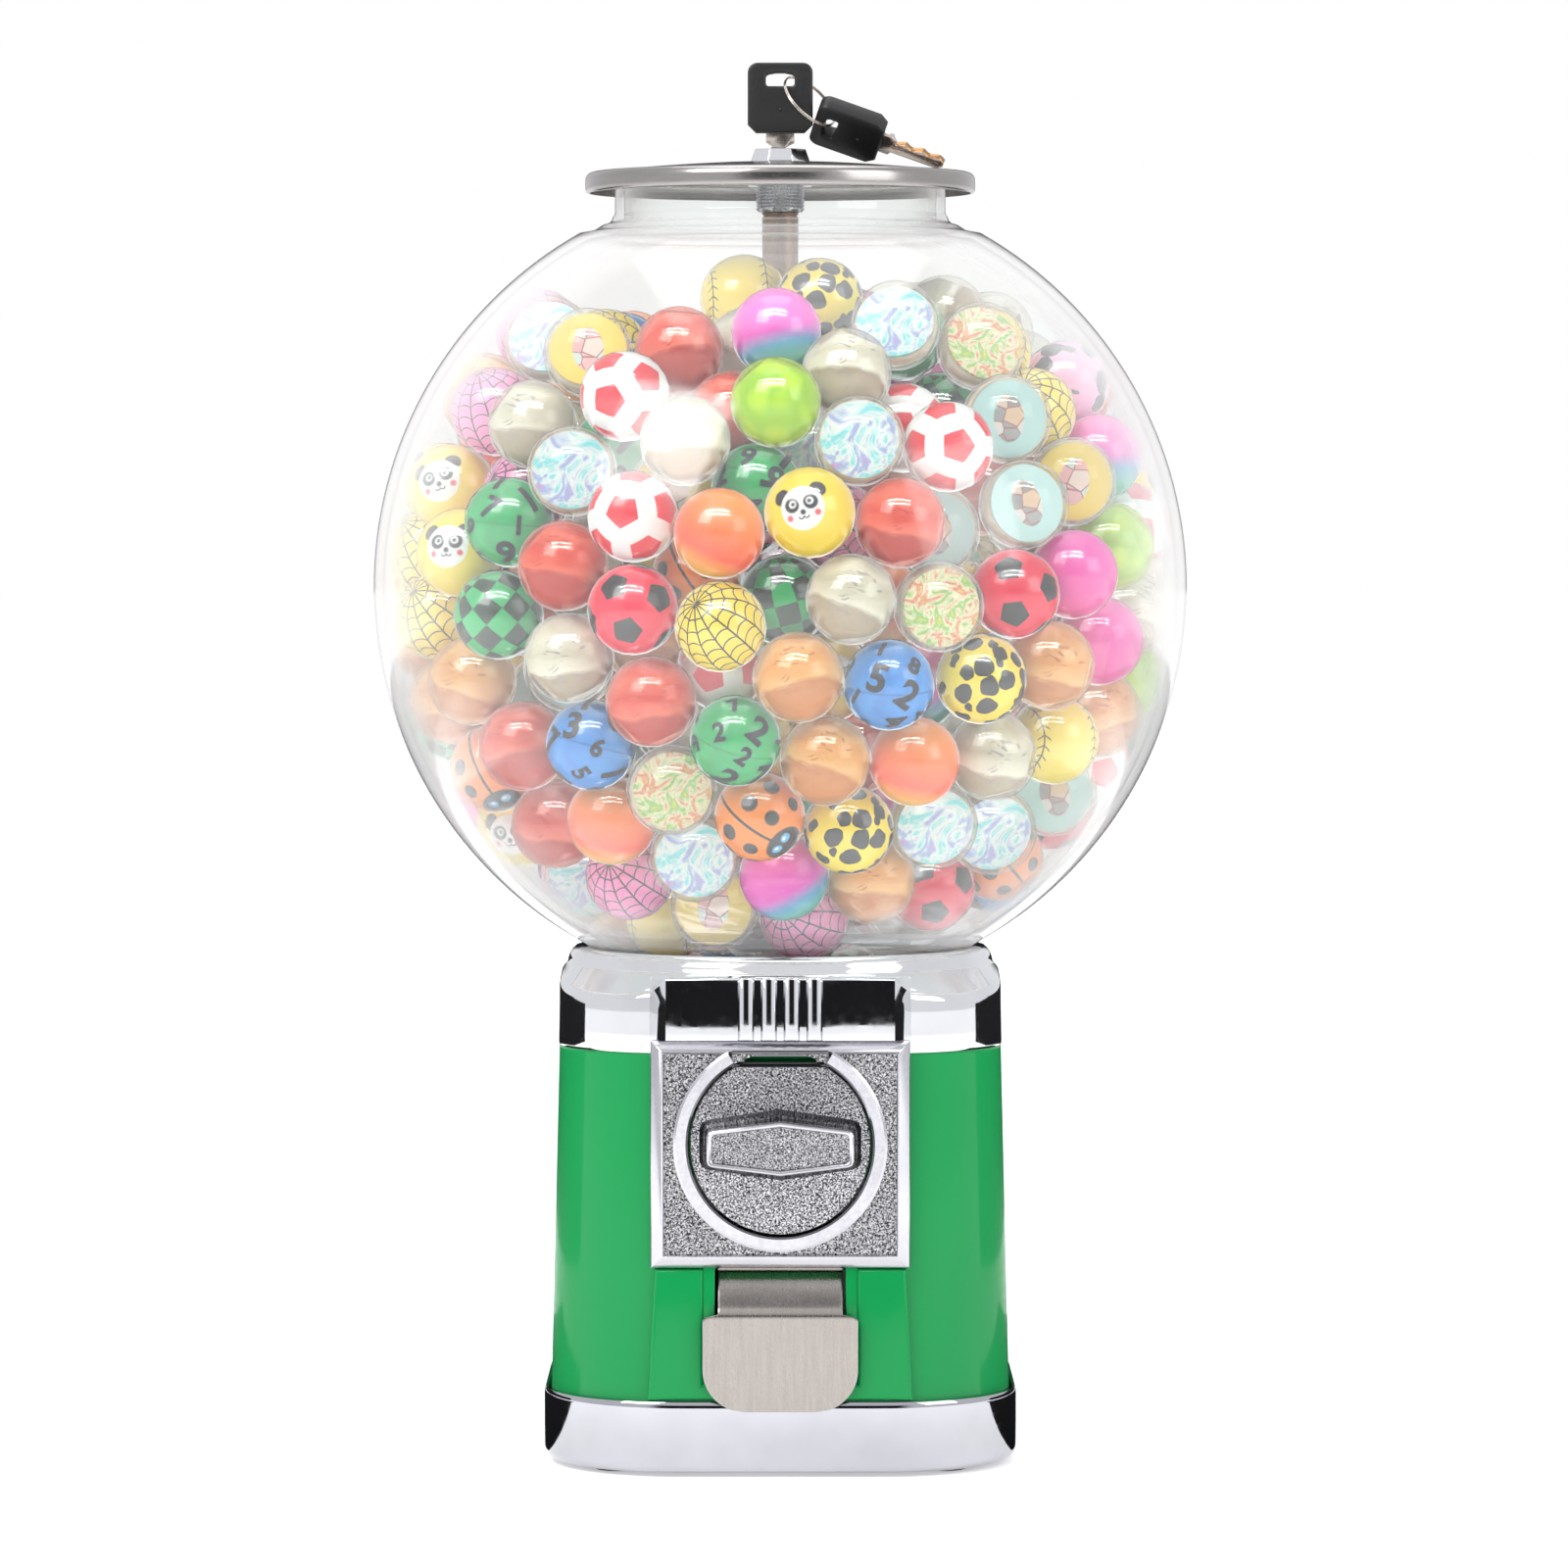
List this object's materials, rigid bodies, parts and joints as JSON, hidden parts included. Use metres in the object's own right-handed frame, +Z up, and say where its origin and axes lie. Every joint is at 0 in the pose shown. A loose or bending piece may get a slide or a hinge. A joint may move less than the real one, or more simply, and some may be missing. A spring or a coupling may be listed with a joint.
{
  "type": "gumball machine",
  "caption": "Table ball vending machine: clear globe of bouncy balls on a chromed collar and painted body, with coin dial, swinging chute door and lockable lid.",
  "frame": {"origin": "centre of the footprint, on the surface the rubber feet stand on", "axes": "+Z up along the centre rod; the coin dial and chute door face -Y; +X to the right seen from the front"},
  "size_m": [0.2953, 0.2954, 0.5042],
  "materials": {
    "chrome": "polished",
    "cast_chrome": "stippled cast plating",
    "rubber": "matte",
    "green_paint": "gloss enamel",
    "cast_alloy": "as cast",
    "zinc_steel": "zinc plated",
    "white_plastic": "moulded",
    "dark_steel": "blackened",
    "black_plastic": "moulded",
    "door_steel": "satin",
    "clear_tube": "clear plastic",
    "clear_globe": "clear plastic",
    "lid_steel": "polished",
    "lock_nickel": "bronzed nickel",
    "key_steel": "nickel plated",
    "ball_white": "gloss",
    "ball_green": "gloss",
    "ball_blue": "gloss",
    "ball_yellow": "gloss",
    "ball_pink": "gloss",
    "ball_red": "gloss",
    "ball_orange": "gloss",
    "ball_lime": "glitter",
    "ball_magenta": "gloss",
    "ball_clear": "clear",
    "ball_amber": "clear tinted"
  },
  "bodies": {
    "cabinet": {"base_tray": "chrome", "rubber_feet": "rubber", "body_shell": "green_paint", "collar": "chrome", "wheel_pan": "cast_alloy", "pan_screws": "zinc_steel", "idler_pin": "zinc_steel", "mech_plate": "cast_chrome", "coin_gauge": "dark_steel", "mech_bracket": "cast_alloy", "mech_screws": "zinc_steel", "pawl_pin": "zinc_steel", "coin_trough": "zinc_steel", "cash_box": "black_plastic", "ball_chute": "white_plastic", "door_pin": "zinc_steel", "centre_rod": "zinc_steel", "rod_nut": "zinc_steel", "rod_washer": "zinc_steel", "rod_sleeve": "clear_tube", "pocket_guard": "zinc_steel", "globe": "clear_globe", "globe_gasket": "rubber", "balls_white": "ball_white", "balls_green": "ball_green", "balls_blue": "ball_blue", "balls_yellow": "ball_yellow", "balls_pink": "ball_pink", "balls_red": "ball_red", "balls_orange": "ball_orange", "balls_lime": "ball_lime", "balls_twotone": "ball_magenta", "balls_disc_sky": "ball_clear", "balls_disc_sun": "ball_clear", "balls_disc_cyan": "ball_clear", "balls_amber": "ball_amber", "balls_clear": "ball_clear"},
    "dial": {"dial_disc": "cast_chrome", "dial_handle": "cast_chrome", "dial_shaft": "zinc_steel", "shaft_nut": "zinc_steel", "dial_gear": "cast_alloy", "coin_carrier": "zinc_steel"},
    "idler": {"idler_gear": "cast_alloy"},
    "wheel": {"vend_wheel": "white_plastic", "balls_in_wheel": "ball_yellow"},
    "pawl": {"ratchet_pawl": "zinc_steel"},
    "door": {"chute_door": "door_steel"},
    "lid_unit": {"lid": "lid_steel", "lid_gasket": "rubber", "lock_bezel": "chrome", "lock_barrel": "zinc_steel", "lock_nut": "zinc_steel"},
    "lock_core": {"lock_plug": "dark_steel", "lock_tube": "lock_nickel"},
    "key": {"key_bow": "black_plastic", "key_blade": "key_steel"},
    "ring": {"key_ring": "key_steel"},
    "spare_key": {"spare_bow": "black_plastic", "spare_blade": "key_steel"}
  },
  "joints": [
    {"name": "dial_turn", "type": "hinge", "parent": "cabinet", "child": "dial", "pos_m": [0, -0.08, 0.1186], "axis": [0, 1, 0], "continuous": true},
    {"name": "idler_spin", "type": "hinge", "parent": "cabinet", "child": "idler", "pos_m": [0, -0.06, 0.1396], "axis": [0, 1, 0], "continuous": true},
    {"name": "wheel_spin", "type": "hinge", "parent": "cabinet", "child": "wheel", "pos_m": [0, 0, 0.16], "axis": [0, 0, 1], "continuous": true},
    {"name": "pawl_lift", "type": "hinge", "parent": "cabinet", "child": "pawl", "pos_m": [-0.0255, -0.073, 0.126], "axis": [0, 1, 0], "range_deg": [0, 8]},
    {"name": "door_swing", "type": "hinge", "parent": "cabinet", "child": "door", "pos_m": [0, -0.075, 0.0744], "axis": [-1, 0, 0], "range_deg": [0, 36]},
    {"name": "lid_lift", "type": "slide", "parent": "cabinet", "child": "lid_unit", "axis": [0, 0, 1], "range_m": [0, 0.06]},
    {"name": "lock_turn", "type": "hinge", "parent": "lid_unit", "child": "lock_core", "pos_m": [0, 0, 0.46], "axis": [0, 0, 1], "range_deg": [0, 90]},
    {"name": "key_pull", "type": "slide", "parent": "lock_core", "child": "key", "axis": [0, 0, 1], "range_m": [0, 0.026]},
    {"name": "ring_swing", "type": "hinge", "parent": "key", "child": "ring", "pos_m": [0.0024, 0, 0.4984], "axis": [0, -1, 0], "range_deg": [0, 15]},
    {"name": "spare_key_swing", "type": "hinge", "parent": "ring", "child": "spare_key", "pos_m": [0.01896, 0, 0.48227], "axis": [0, -1, 0], "range_deg": [0, 9]}
  ],
  "couplings": [
    {"joint": "idler_spin", "follows": "dial_turn", "ratio": -1.3333},
    {"joint": "wheel_spin", "follows": "dial_turn", "ratio": -0.2}
  ]
}
